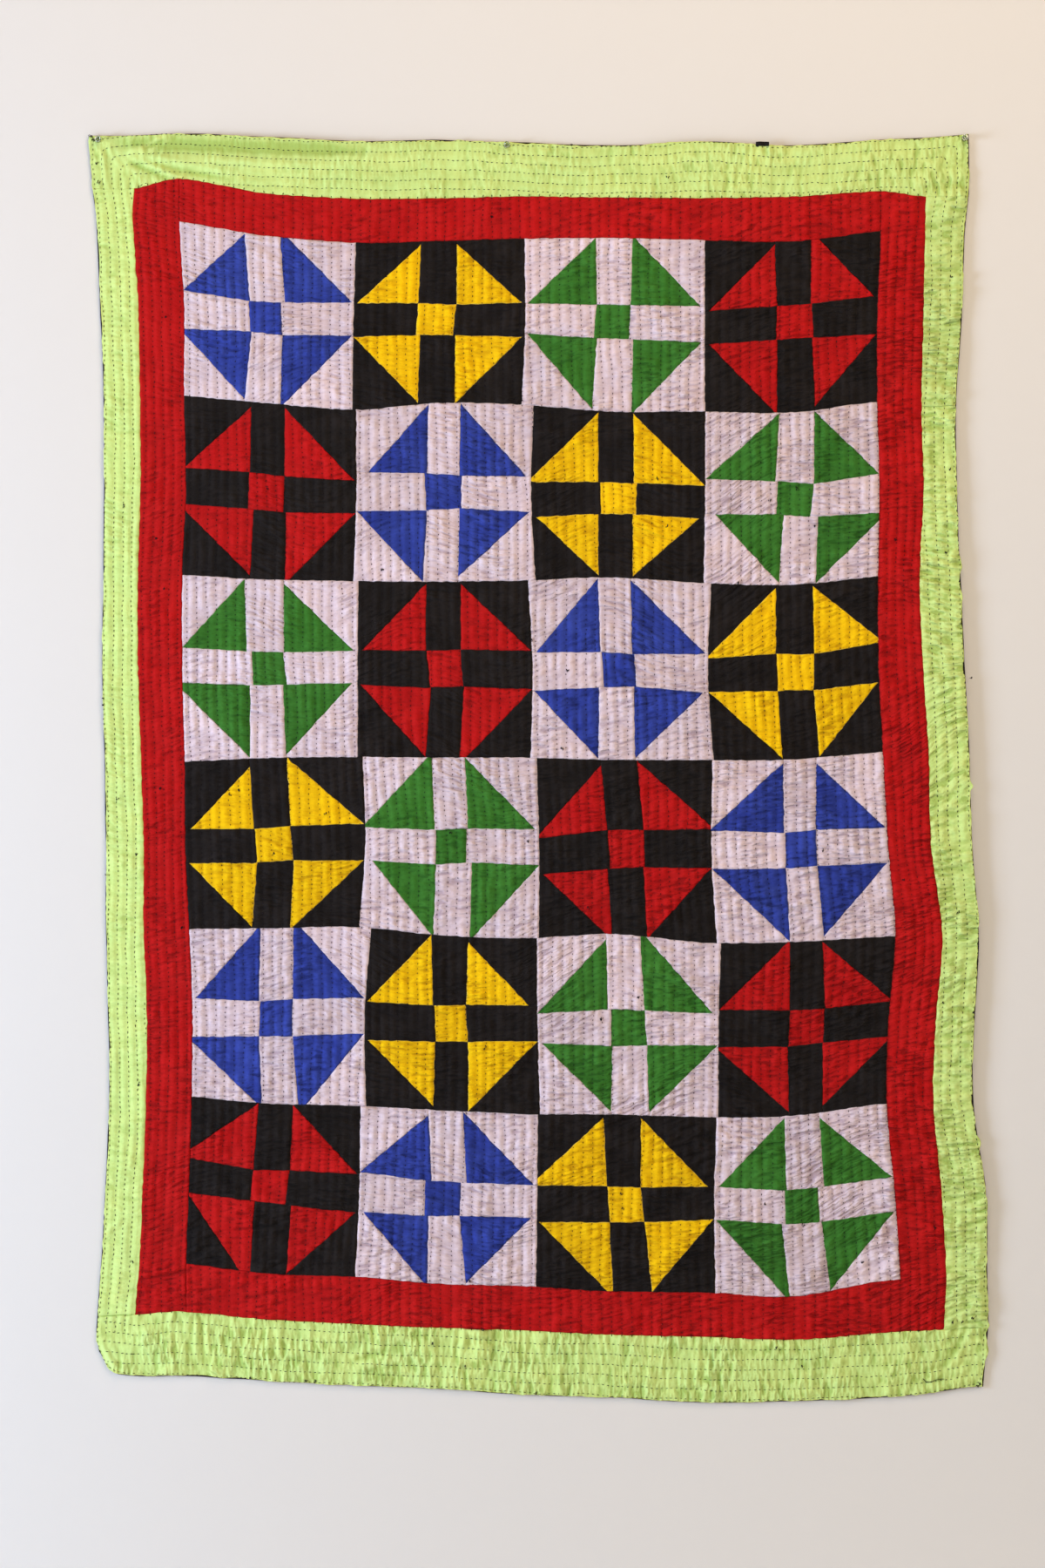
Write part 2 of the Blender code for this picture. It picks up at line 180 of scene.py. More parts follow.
# How crookedly each block is pieced. The seams are drops from the row's start; the arms and the centre are
# distances from the column's start, each side at its upper and lower end.
PIECING = (
    # upper seam            lower seam            upper arm             centre                lower arm
    ((92, 109, 112, 112), (154, 158, 164, 165), (97, 105, 154, 162), (104, 106, 155, 157), (108, 97, 158, 155)),
    ((113, 113, 115, 112), (167, 164, 164, 167), (104, 99, 161, 160), (99, 95, 160, 155), (102, 98, 158, 157)),
    ((113, 115, 116, 118), (161, 169, 171, 176), (101, 102, 160, 157), (102, 98, 157, 154), (102, 95, 161, 158)),
    ((126, 118, 113, 101), (179, 172, 168, 162), (102, 106, 160, 160), (105, 104, 162, 165), (106, 106, 162, 167)),
    ((97, 104, 111, 119), (155, 163, 169, 170), (108, 106, 162, 161), (105, 102, 161, 160), (112, 106, 164, 162)),
    ((104, 106, 110, 111), (167, 165, 162, 168), (115, 113, 167, 165), (109, 112, 168, 168), (113, 106, 165, 163)),
    ((120, 120, 122, 126), (176, 171, 172, 179), (105, 105, 161, 162), (108, 109, 167, 165), (105, 105, 160, 160)),
    ((115, 119, 123, 106), (172, 172, 176, 169), (109, 103, 166, 165), (107, 105, 165, 160), (116, 108, 172, 168)),
    ((105, 112, 113, 111), (162, 166, 165, 162), (97, 101, 160, 160), (109, 111, 159, 165), (106, 106, 159, 164)),
    ((110, 111, 109, 111), (165, 170, 168, 172), (112, 111, 167, 167), (112, 118, 167, 171), (119, 111, 172, 165)),
    ((113, 113, 116, 116), (175, 169, 168, 179), (104, 108, 157, 159), (110, 114, 163, 165), (106, 105, 162, 164)),
    ((123, 116, 116, 98), (177, 175, 174, 161), (104, 104, 163, 165), (105, 107, 165, 165), (107, 115, 165, 174)),
    ((112, 111, 107, 103), (166, 166, 162, 162), (105, 112, 165, 171), (113, 117, 171, 176), (118, 109, 176, 170)),
    ((109, 113, 111, 112), (162, 169, 165, 170), (120, 125, 174, 179), (127, 127, 176, 176), (127, 123, 185, 182)),
    ((127, 113, 113, 112), (185, 175, 173, 174), (109, 119, 167, 177), (120, 124, 178, 180), (120, 127, 177, 183)),
    ((114, 118, 113, 109), (176, 175, 171, 166), (115, 117, 169, 168), (119, 120, 168, 171), (120, 127, 171, 182)),
    ((103, 108, 105, 102), (165, 165, 164, 160), (122, 120, 176, 174), (122, 120, 174, 173), (120, 124, 174, 183)),
    ((109, 115, 114, 115), (170, 173, 173, 172), (120, 123, 179, 176), (124, 127, 175, 179), (126, 123, 179, 179)),
    ((128, 121, 123, 128), (175, 180, 179, 179), (117, 120, 172, 179), (126, 126, 179, 183), (128, 125, 183, 187)),
    ((122, 123, 120, 109), (182, 181, 174, 165), (127, 126, 179, 183), (127, 124, 182, 180), (123, 125, 179, 179)),
    ((80, 99, 100, 106), (135, 149, 156, 168), (120, 111, 175, 169), (111, 105, 169, 163), (113, 106, 172, 164)),
    ((102, 116, 119, 124), (166, 173, 173, 176), (115, 120, 171, 176), (110, 109, 168, 165), (115, 113, 165, 175)),
    ((124, 125, 127, 126), (183, 183, 183, 178), (113, 119, 173, 173), (119, 124, 173, 179), (123, 129, 179, 191)),
    ((126, 132, 127, 110), (179, 186, 184, 165), (118, 121, 174, 182), (118, 120, 171, 175), (114, 126, 178, 193)),
)

# Where the long side of each triangle ends: first along the row seam, short of the block's side, then along
# the arm, short of the block's top or bottom. Below zero the seam cuts off the triangle's tip.
TIPS = (
    # upper left, upper right, lower left, lower right
    ((0, 2), (3, -11), (-8, 3), (2, -5)),
    ((5, 4), (5, 5), (0, 3), (4, -2)),
    ((4, 0), (7, -4), (4, 2), (6, -4)),
    ((6, 4), (6, -14), (6, -4), (1, 6)),
    ((-3, 8), (2, 5), (-11, 5), (0, -7)),
    ((19, 2), (8, 2), (2, 0), (4, 8)),
    ((-7, 2), (0, 2), (7, 3), (9, 3)),
    ((1, 2), (0, 2), (17, 4), (-12, 0)),
    ((0, 1), (7, 6), (-12, 2), (9, 4)),
    ((6, 3), (0, 4), (4, 0), (0, -11)),
    ((7, 1), (4, 3), (3, 2), (9, 3)),
    ((-4, 4), (-8, 3), (0, 1), (2, 0)),
    ((9, 13), (2, 0), (5, 2), (1, -3)),
    ((-6, -6), (6, 0), (13, -3), (0, -5)),
    ((-7, 8), (-6, 0), (6, -10), (0, -4)),
    ((-2, 6), (3, 9), (1, 1), (4, 6)),
    ((6, -4), (3, -12), (-8, -8), (1, -13)),
    ((2, 0), (13, 8), (5, 6), (0, 0)),
    ((0, 9), (10, -8), (7, 5), (1, 6)),
    ((0, -3), (-6, 2), (-5, 6), (-6, 10)),
    ((-14, 0), (4, 0), (-5, -16), (4, 0)),
    ((0, 9), (6, 1), (8, -5), (10, 3)),
    ((-11, 5), (10, 4), (3, -9), (1, 0)),
    ((7, 3), (2, 8), (3, -6), (4, 0)),
)

GROUND = {"blue": "lilac", "yellow": "black", "green": "lilac", "red": "black"}
FIGURES = ("blue", "yellow", "green", "red")


# ---------------------------------------------------------------- the lie of the seams


def mix(a, b, share):
    return a + (b - a) * share


def through(places, values):
    """A soft curve through a few measured points."""
    places, values = np.array(places, float), np.array(values, float)
    last = len(places) - 1
    before, after = np.maximum(np.arange(last + 1) - 1, 0), np.minimum(np.arange(last + 1) + 1, last)
    slopes = (values[after] - values[before]) / (places[after] - places[before])

    def value(at):
        at = np.clip(at, places[0], places[-1])
        k = np.clip(np.searchsorted(places, at, "right") - 1, 0, last - 1)
        span = places[k + 1] - places[k]
        t, rise = (at - places[k]) / span, values[k + 1] - values[k]
        start, end = slopes[k] * span, slopes[k + 1] * span
        return values[k] + t * (start + t * (3 * rise - 2 * start - end + t * (start + end - 2 * rise)))

    return value


top_edge, lime_top_seam = through(STATIONS, TOP_EDGE), through(STATIONS, LIME_TOP_SEAM)
lime_bottom_seam, bottom_edge = through(STATIONS, LIME_BOTTOM_SEAM), through(STATIONS, BOTTOM_EDGE)
row_seams = [through(STATIONS, heights) for heights in ROW_SEAMS]


def level_height(level, x):
    """The height of a level at x, as in the tables above."""
    if level != int(level):
        return mix(level_height(int(level), x), level_height(int(level) + 1, x), level - int(level))
    named = {0: top_edge, 1: lime_top_seam, 15: lime_bottom_seam, 16: bottom_edge}
    if level in named:
        return named[level](x)
    row, half = divmod(int(level) - 2, 2)
    return (row_seams[row](x) + row_seams[row + 1](x)) / 2 if half else row_seams[row](x)


def running_down(points):
    """A seam that runs down, as a function of height."""
    heights, places = zip(*sorted(points))
    return through(heights, places)


long_seams = [
    running_down(
        [(float(level_height(i, row[column])), row[column]) for i, row in enumerate(LEVELS)]
        + [corner for corner in LEFT_CORNER if column == 0]
    )
    for column in range(6)
]
left_edge, lime_left_seam, blocks_left, blocks_right, lime_right_seam, right_edge = long_seams


def block_side(row, column):
    """The side of a block, as a function of height."""
    if column in (0, 4):
        return blocks_right if column else blocks_left
    places = BLOCK_SEAMS[row][column - 1]
    levels = (2 * row + 2, 2 * row + 3, 2 * row + 4)
    return running_down([(float(level_height(i, x)), x) for i, x in zip(levels, places)])


def column_line(column):
    """The seams between two columns of blocks as one line from top to bottom, which the stitching follows."""
    points = []
    for row, seams in enumerate(BLOCK_SEAMS):
        upper, middle, lower = seams[column]
        above = BLOCK_SEAMS[row - 1][column][2] if row else upper
        points += [(float(row_seams[row](upper)), (upper + above) / 2)]
        points += [(float(level_height(2 * row + 3, middle)), middle)]
    points += [(float(row_seams[6](lower)), lower)]
    return running_down(points)


stitch_guides = [lime_left_seam, blocks_left, *(column_line(i) for i in range(3)), blocks_right, lime_right_seam]
STITCH_ROWS = (5, 18, 18, 18, 17.5, 5)  # between each two of those guides


# ---------------------------------------------------------------- the relief


def hills(x, z, seed):
    """Smooth random hills about one unit apart, from -1 to 1."""
    i, j = np.floor(x).astype(np.int64), np.floor(z).astype(np.int64)
    u, v = x - i, z - j
    u, v = u * u * (3 - 2 * u), v * v * (3 - 2 * v)

    def corner(a, b):
        h = (a * 374761393 + b * 668265263 + seed * 144269504) & 0xFFFFFFFF
        h = ((h ^ (h >> 13)) * 1274126177) & 0xFFFFFFFF
        return ((h ^ (h >> 16)) & 0xFFFF) / 32767.5 - 1

    upper = mix(corner(i, j), corner(i + 1, j), u)
    lower = mix(corner(i, j + 1), corner(i + 1, j + 1), u)
    return mix(upper, lower, v)


def lie(x, z):
    """How far the quilt's back stands off the wall."""
    down = np.clip(-z / DROP, 0, 1)
    between_pins = np.where(x < 0, x / PINS["left"][0], x / PINS["right"][0])
    at_top = SWELL_AT_TOP * np.sin(math.pi * between_pins) ** 2 * np.exp(-down / 0.3)
    middle = SWELL_IN_MIDDLE * np.sin(math.pi * down**0.8) * (0.7 + 0.3 * np.cos(x / 260))
    edge = LIFT_AT_EDGE * (np.maximum(x - LIFT_STARTS, 0) / LIFT_WIDTH) ** 2 * np.sin(math.pi * down)
    return WALL_GAP + at_top + middle + edge


def ragged(edge, seed):
    """An outer edge drawn in at each stitch and a little uneven in its cut."""

    def uneven(at):
        middle = at * 0 + 0.5
        return edge(at) + 1.5 * hills(at / 24, middle, seed) + 0.7 * hills(at / 7, middle, seed + 1)

    return uneven


def bumpy(edge):
    """The right edge with its bulges and nicks."""
    return lambda at: edge(at) + sum(out * np.exp(-(((at - z) / half) ** 2)) for z, out, half in EDGE_BUMPS)


def from_edges(x, z):
    """Distance in from the left, right, top and bottom edges."""
    return x - left_edge(z), right_edge(z) - x, top_edge(x) - z, z - bottom_edge(x)


def in_lime(x, z, margin=0):
    """Whether a place lies in the lime border, at least a margin inside it."""
    beside = (x < lime_left_seam(z) - margin) | (x > lime_right_seam(z) + margin)
    return beside | (z > lime_top_seam(x) + margin) | (z < lime_bottom_seam(x) - margin)


def inside_lime(x, z):
    """Whether a place lies in the lime border, clear of its outer edge and of the red."""
    return in_lime(x, z, 3) & (np.min(from_edges(x, z), axis=0) > 5)


def pressed_flat(x, z):
    """Where a seam between two strips of one cloth is pressed so flat that it doesn't show."""
    lime = inside_lime(x, z) & (np.abs(z - PLAIN_JOIN) > 25)
    red = (np.abs(x - blocks_right(z)) < 3) & (z < row_seams[6](x) - 3) & (z > lime_bottom_seam(x) + 3)
    return red | lime & ~((x < -600) & (z < -1800))


def from_rim(x, z):
    """How many rows of stitching lie between a place and the nearest edge, with the corners rounded."""
    softness = 0.35
    rows = [(d - FIRST_ROW_FROM_EDGE) / pitch for d, pitch in zip(from_edges(x, z), RIM_PITCHES)]
    return -softness * np.log(sum(np.exp(-np.clip(count, -3, 26) / softness) for count in rows))


def wander(x, z):
    """How far a row of stitches strays from its line."""
    return 2.4 * hills(x / 60, z / 100, 3) + 1.3 * hills(x / 17, z / 30, 4)


def jogged(x, z):
    """A place after the gathers have nudged it a little sideways, which makes the seams waver."""
    return x + 0.8 * hills(x / 9, z / 8, 31), z + 0.8 * hills(x / 8, z / 9, 32)


def rows_across(x, z):
    """How many stitch rows lie to the left of a place in the blocks or the red border."""
    lines = [line(z) for line in stitch_guides]
    counted = 0
    for count, start, end in zip(STITCH_ROWS, lines, lines[1:]):
        counted = counted + count * np.clip((x - start) / (end - start), 0, 1)
    return counted


def crossing(x, z):
    """How far along its row a place lies, skewed as the creases run: up to the right, and now and then askew."""
    return z - 0.17 * np.maximum(x, 0) + 34 * hills(x / 150, z / 190, 41)


# Creases: how far each kind slants from square to its row, its length and distance apart, share, seed.
CREASES = ((0.0, 36, 9.2, 1.0, 11), (0.22, 28, 8.0, 0.8, 12), (-0.2, 30, 8.6, 0.7, 13), (0.5, 20, 8.0, 0.4, 14))
BORDER_CREASES = ((0.0, 60, 9.6, 1.0, 15), (0.15, 46, 8.4, 0.8, 16), (-0.12, 52, 9.0, 0.8, 17))


def puckers(x, z, along, border):
    """Creases that cross the rows of stitching. Along, the rows run along X."""
    x, z = (z, x) if along else (x, crossing(x, z))
    total, swell = 0, 0.15 if border else 0.35
    for slant, long_size, short_size, share, seed in BORDER_CREASES if border else CREASES:
        a, b = x * math.cos(slant) + z * math.sin(slant), z * math.cos(slant) - x * math.sin(slant)
        here = np.clip(0.5 + 1.1 * hills(x / 62, z / 46, seed + 20), 0.05, 1.1)
        wave = hills(a / long_size, b / short_size, seed)
        total = total + share * here * (swell * wave + np.abs(wave) - 0.32)
    return total


def at_ends(x, z):
    """1 in the border's top and foot, 0 in its sides, and a soft change between them at the corners."""
    left, right, top, bottom = from_edges(x, z)
    return np.clip((np.minimum(left, right) - np.minimum(top, bottom)) / 30 + 0.5, 0, 1)


def gathered(x, z, border):
    """How hard the stitching has gathered the cloth: most along the right and the foot, least on the left."""
    to_right, to_foot = np.clip((x + 300) / 900, 0, 1), np.clip((-z - 900) / 1000, 0, 1)
    if border:
        return mix(0.6 + 1.3 * to_right, np.where(z < -1000, 1.7, 0.55 + 0.4 * to_right), at_ends(x, z))
    return 0.8 + 0.4 * to_right + 0.35 * to_foot + 0.25 * (x > 600)


# Larger folds, each from one end to the other: x, z, x, z, half its width, and its height.
FOLDS = (
    (-640, 0, -615, -42, 4, 3.6), (-651, -5, -644, -60, 3.5, 2.4), (-632, -2, -572, -80, 4, 2.6),
    (-604, -18, -520, -54, 4.5, 3.8), (-590, -14, -440, -46, 6, 3.0), (-604, -12, -552, 14, 3.5, 3.0),
    (-590, -14, -540, 8, 3.5, 2.4), (-634, -8, -612, -48, 3.5, -2.6), (-606, -26, -528, -62, 4, -2.6),
    (-594, -22, -444, -56, 5, -2.2), (-626, -12, -568, -88, 4, -2.0), (-560, -26, -300, -32, 7, 2.4),
    (-600, 3, -250, -9, 9, -4.6), (-300, -20, 60, -28, 12, 1.0), (240, -24, 640, -10, 12, 1.2),
    (628, -42, 630, -72, 6, 1.6), (700, -10, 650, -70, 7, 1.4), (48, -1900, 40, -1990, 8, 1.6),
    (188, -1850, 205, -1900, 7, 1.8), (225, -1850, 215, -1900, 6, -1.4), (-644, -1748, -618, -1722, 4, 2.0),
    (-612, -1735, -628, -1865, 4.5, 2.0), (-584, -1862, -535, -1850, 5, 1.5),
    (-646, -1930, -618, -1980, 5, 2.0), (-250, -1946, -205, -1926, 5, 2.2),
    (-250, -1960, -160, -1944, 6, 2.4), (-250, -1953, -190, -1936, 4, -2.2),
    (-238, -1972, -165, -1957, 4, -2.0), (752, -1740, 760, -1880, 5, 2.2), (746, -1900, 724, -1950, 5, 2.6),
    (737, -1900, 712, -1955, 4.5, -2.8), (722, -1952, 680, -1976, 6, 2.2),
    (712, -1956, 676, -1966, 4.5, -2.2), (716, -1885, 698, -1925, 4.5, 2.2),
    (725, -1888, 707, -1930, 4, -2.0), (-380, -1560, -250, -1640, 9, 1.5), (-480, -1640, -360, -1760, 9, 1.4),
    (-300, -1700, -260, -1810, 8, 1.5), (230, -1230, 420, -1300, 10, 1.2), (90, -1340, 180, -1390, 9, 1.2),
    (430, -1590, 520, -1640, 9, 1.5),
)


def folds(x, z):
    """The height of the larger folds, each of which fades out at both ends."""
    total = 0
    for x1, z1, x2, z2, width, height in FOLDS:
        run = np.array((x2 - x1, z2 - z1), float)
        length = np.hypot(*run)
        along = ((x - x1) * run[0] + (z - z1) * run[1]) / length**2
        off = ((x - x1) * run[1] - (z - z1) * run[0]) / length
        ends = np.clip(along * 4 + 0.5, 0, 1) * np.clip((1 - along) * 4 + 0.5, 0, 1)
        total = total + height * ends * np.exp(-((off / width) ** 2))
    return total


def off_rows(x, z, border):
    """How far a place is from the nearest row of stitching: 0 on it, 1 half way to the next."""
    rows = from_rim(x, z) - wander(x, z) / ROW_PITCH + 0.5 if border else rows_across(x - wander(x, z), z)
    return np.abs(rows - np.floor(rows) - 0.5) * 2


def relief(x, z, border):
    """The height of the cloth's face over its plain lie, and how much painted shade a place gets down in its
    hollows.
    """
    folded = folds(x, z)
    large = 0.7 * hills(x / 110, z / 85, 7) + folded
    crease = puckers(x, z, False, border)
    if border:
        crease = mix(crease, puckers(x, z, True, True), at_ends(x, z))
    off_row = off_rows(x, z, border)
    puff = PUFF * (0.8 + 0.35 * hills(x / 40, z / 33, 9)) * np.sin(np.minimum(off_row, 1) * math.pi / 2) ** 0.8
    crease = crease * (0.5 + 0.5 * off_row) * gathered(x, z, border)
    # Painted shade: in the border the colour is drawn darker down in creases and fold valleys, and in the blocks
    # down in creases and low between the puffs.
    if border:
        painted_hollow_shade = 0.15 - 0.7 * crease - 0.35 * folded
    else:
        painted_hollow_shade = 0.2 - 0.5 * crease - 0.7 * (puff / PUFF - 0.6)
    return np.maximum(puff + PUCKER * crease + large, LOWEST), np.clip(painted_hollow_shade, 0, 1)


def face_depth(x, z, border):
    """How far the face of the cloth stands off the wall."""
    return lie(x, z) + LAYERS + relief(x, z, border)[0]


def stitch_depth(x, z, border):
    """Where the top of the cloth is round a stitch."""
    around = ((0, 0), (1.8, 0), (-1.8, 0), (0, 1.8), (0, -1.8))
    return np.max([face_depth(x + dx, z + dz, border) for dx, dz in around], axis=0)


# ---------------------------------------------------------------- making cloth pieces


def shares(cells, rim):
    """Places of the grid lines across a patch: a narrow rim at both ends and even cells between."""
    return np.concatenate([[0], np.linspace(rim, 1 - rim, cells + 1), [1]])


def only(kind, items):
    """Those of the faces, edges and vertices that are of one kind."""
    return [item for item in items if isinstance(item, kind)]


def spread(sides, across, down, x, z):
    """The places at these shares of the way across and down between four sides, found in a few steps."""
    left, right, top, bottom = sides
    for _ in range(4):
        x = mix(left(z), right(z), across)
        z = mix(top(x), bottom(x), down)
    return x, z


def lay_patch(bm, left, right, top, bottom, rows_run_across=False):
    """A flat grid between four seams, with a narrow rim for the roll of the cloth into each seam."""
    x, z = 0.0, -1000.0
    for _ in range(6):
        x = (left(z) + right(z)) / 2
        z = (top(x) + bottom(x)) / 2
    width, height = float(right(z) - left(z)), float(top(x) - bottom(x))
    across_step, down_step = GRID_ACROSS_ROWS, GRID_ALONG_ROWS
    if rows_run_across:
        across_step, down_step = down_step, across_step
    columns, rows = max(2, round(width / across_step)), max(2, round(height / down_step))
    made = bmesh.ops.create_grid(bm, x_segments=columns + 2, y_segments=rows + 2, size=0.5)["verts"]
    flat = np.array([vert.co[:2] for vert in made])
    across = shares(columns, SEAM_ROLL / width)[np.rint((flat[:, 0] + 0.5) * (columns + 2)).astype(int)]
    down = shares(rows, SEAM_ROLL / height)[np.rint((0.5 - flat[:, 1]) * (rows + 2)).astype(int)]
    x, z = np.full(len(made), x), np.full(len(made), z)
    for vert, place in zip(made, zip(*spread((left, right, top, bottom), across, down, x, z))):
        vert.co = (*place, 0)
    faces = {face for vert in made for face in vert.link_faces}
    edges = {edge for vert in made for edge in vert.link_edges}
    return [*made, *edges, *faces]


def cut_along(bm, geom, start, end):
    """Cuts a patch along the long side of its triangle, with a rim on either side of the cut. Gives its faces
    on the left of the cut, and all of them."""
    run = Vector((end[0] - start[0], end[1] - start[1], 0)).normalized()
    normal = Vector((-run.y, run.x, 0))
    for off in (-SEAM_ROLL, SEAM_ROLL, 0):
        plane = Vector((*start, 0)) + normal * off
        result = bmesh.ops.bisect_plane(bm, geom=geom, dist=0.02, plane_co=plane, plane_no=normal)
        geom = result["geom"]
    bmesh.ops.split_edges(bm, edges=only(bmesh.types.BMEdge, result["geom_cut"]))
    faces = only(bmesh.types.BMFace, geom)
    return {face for face in faces if (face.calc_center_median() - Vector((*start, 0))).dot(normal) > 0}, faces


def lift(bm, border, rows_run_across=False):
    """Lifts flat patches into the quilt's relief, rolls their rims into the seams and turns them under."""
    wear_and_painted_light, painted_hollow_shade, gather = (bm.verts.layers.float.new(name) for name in ("wear_and_painted_light", "painted_hollow_shade", "gather"))
    lay = bm.verts.layers.float_vector.new("lay")
    rims = [edge for edge in bm.edges if edge.is_boundary]
    in_seam = {vert for edge in rims for vert in edge.verts}
    # Seam rims are marked for the rim colour: partly lint wear, partly painted highlight, and on the red a painted
    # shadow line.
    for vert in in_seam:
        vert[wear_and_painted_light] = 1.0
    under = set(only(bmesh.types.BMVert, bmesh.ops.extrude_edge_only(bm, edges=rims)["geom"]))
    verts = list(bm.verts)
    x, z = np.array([vert.co[:2] for vert in verts]).T
    raised, hollow_shade_amount = relief(x, z, border)
    rolled = np.array([vert in in_seam or vert in under for vert in verts])
    flat = pressed_flat(x, z)
    joins = border & inside_lime(x, z) & ~flat
    rolled &= ~flat
    turned = np.array([vert in under for vert in verts])
    depth = lie(x, z) + LAYERS + np.where(rolled, 0.35 * raised + (0.7 if border else -0.15), raised)
    depth -= rolled * joins * 0.9
    coarser = 0.66 if border else 1
    across, along = (z, x * coarser) if rows_run_across else (x, crossing(x, z) * coarser)
    # On the lime, fold ridges are marked for the rim colour as a painted highlight.
    pulls, ridges = gathered(x, z, border), np.clip(folds(x, z) / 2.6, 0, 1.3) * border
    nudged_x, nudged_z = jogged(x, z)
    for i, (vert, place) in enumerate(zip(verts, zip(nudged_x, turned * TURNED_UNDER - depth, nudged_z))):
        vert.co = Vector(place) * MM
        # Painted shade: low places get the darker crease colour, and the rolled rims of joins between lime strips
        # get a dark painted shade line. Those rims get no rim colour.
        vert[painted_hollow_shade], vert[gather] = max(hollow_shade_amount[i], float(joins[i] and rolled[i])), pulls[i]
        vert[wear_and_painted_light] = 0 if joins[i] or flat[i] else max(vert[wear_and_painted_light], ridges[i])
        vert[lay] = (across[i], along[i], 0)


def in_scene(thing):
    bpy.context.scene.collection.objects.link(thing)
    return thing


def mesh_object(name, bm, materials):
    mesh = bpy.data.meshes.new(name)
    bm.to_mesh(mesh)
    bm.free()
    for made in materials:
        mesh.materials.append(made)
    return in_scene(bpy.data.objects.new(name, mesh))


def finished(name, bm, materials):
    """A piece of the quilt, smooth, in its material slot."""
    piece = mesh_object(name, bm, materials)
    piece.data.shade_smooth()
    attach(piece, "root")
    return piece


def thicken(piece, thickness):
    cloth = piece.modifiers.new("cloth", "SOLIDIFY")
    cloth.thickness, cloth.offset = thickness * MM, -1


def hung(node, bm, materials, border=False, rows_run_across=False):
    cut = sum(face.calc_area() for face in bm.faces) * MM**2
    lift(bm, border, rows_run_across)
    piece = finished(node + "_cloth", bm, materials)
    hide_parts(node)


def constant(value):
    return lambda at: np.full(np.shape(at), float(value))


def line_between(z1, x1, z2, x2):
    """A straight seam that runs down."""
    slope = (x2 - x1) / (z2 - z1)
    return lambda z: x1 + (z - z1) * slope


def tone_patches(bm, rng):
    """Gives each patch of cloth a tone of its own."""
    tone = bm.faces.layers.float.new("tone")
    for face in bm.faces:
        face.tag = False
    for first in bm.faces:
        if first.tag:
            continue
        value, patch = rng.uniform(-1, 1), [first]
        first.tag = True
        while patch:
            face = patch.pop()
            face[tone] = value
            near = {other for edge in face.edges for other in edge.link_faces if not other.tag}
            for other in near:
                other.tag = True
            patch.extend(near)


def pieced_block(row, column, cottons):
    """A block of thirteen patches: four triangles and the centre in a bright figure on its ground."""
    figure = FIGURES[(column - row) % len(FIGURES)]
    name = f"block_r{row + 1}_c{column + 1}"
    bm = bmesh.new()
    x0, z0 = COLUMN_STARTS[column], ROW_STARTS[row]
    upper, lower, up_arm, centre, low_arm = PIECING[4 * row + column]
    left, right = block_side(row, column), block_side(row, column + 1)
    top, bottom = row_seams[row], row_seams[row + 1]

    def row_seam(drops):
        height = z0 - sum(drops) / 4
        places = (float(left(height)), x0 + centre[0], x0 + centre[2], float(right(height)))
        return lambda x: np.interp(x, places, [z0 - drop for drop in drops])

    def arm(sides, start, end):
        high, low = float(start(x0 + sides[0])), float(end(x0 + sides[0]))
        return [line_between(high, x0 + a, low, x0 + b) for a, b in (sides[:2], sides[2:])]

    heights = (top, row_seam(upper), row_seam(lower), bottom)
    cells = []
    for start, end, sides in zip(heights, heights[1:], (up_arm, centre, low_arm)):
        lines = (left, *arm(sides, start, end), right)
        cells += [(*pair, start, end) for pair in zip(lines, lines[1:])]
    corners = dict(zip((0, 2, 6, 8), TIPS[4 * row + column]))
    for place, (left_side, right_side, over, under) in enumerate(cells):
        geom = lay_patch(bm, left_side, right_side, over, under)
        if place == 4:
            for face in only(bmesh.types.BMFace, geom):
                face.material_index = 1
        if place not in corners:
            continue
        # The cut runs from the seam at the block's side to the arm at the block's top or bottom.
        side, arm_line, inward = (left_side, right_side, 1) if place in (0, 6) else (right_side, left_side, -1)
        seam, end, away = (under, over, 1) if place < 4 else (over, under, -1)
        along_seam, along_arm = corners[place]
        seam_z = float(seam(float(side(float(seam(x0 + 140))))))
        arm_x = float(arm_line(float(end(x0 + 140))))
        start = [float(side(seam_z)) + inward * max(along_seam, 0), seam_z + away * max(-along_seam, 0)]
        stop = [arm_x - inward * max(-along_arm, 0), float(end(arm_x)) - away * max(along_arm, 0)]
        start[1] = start[1] if along_seam < 0 else float(seam(start[0]))
        stop[0] = stop[0] if along_arm < 0 else float(arm_line(stop[1]))
        on_left_of_cut, faces = cut_along(bm, geom, start, stop)
        for face in faces:
            face.material_index = int((face in on_left_of_cut) == (place in (2, 6)))
    tone_patches(bm, random.Random(name))
    materials = [cottons[GROUND[figure]], cottons[figure]]
    hung(name, bm, materials)


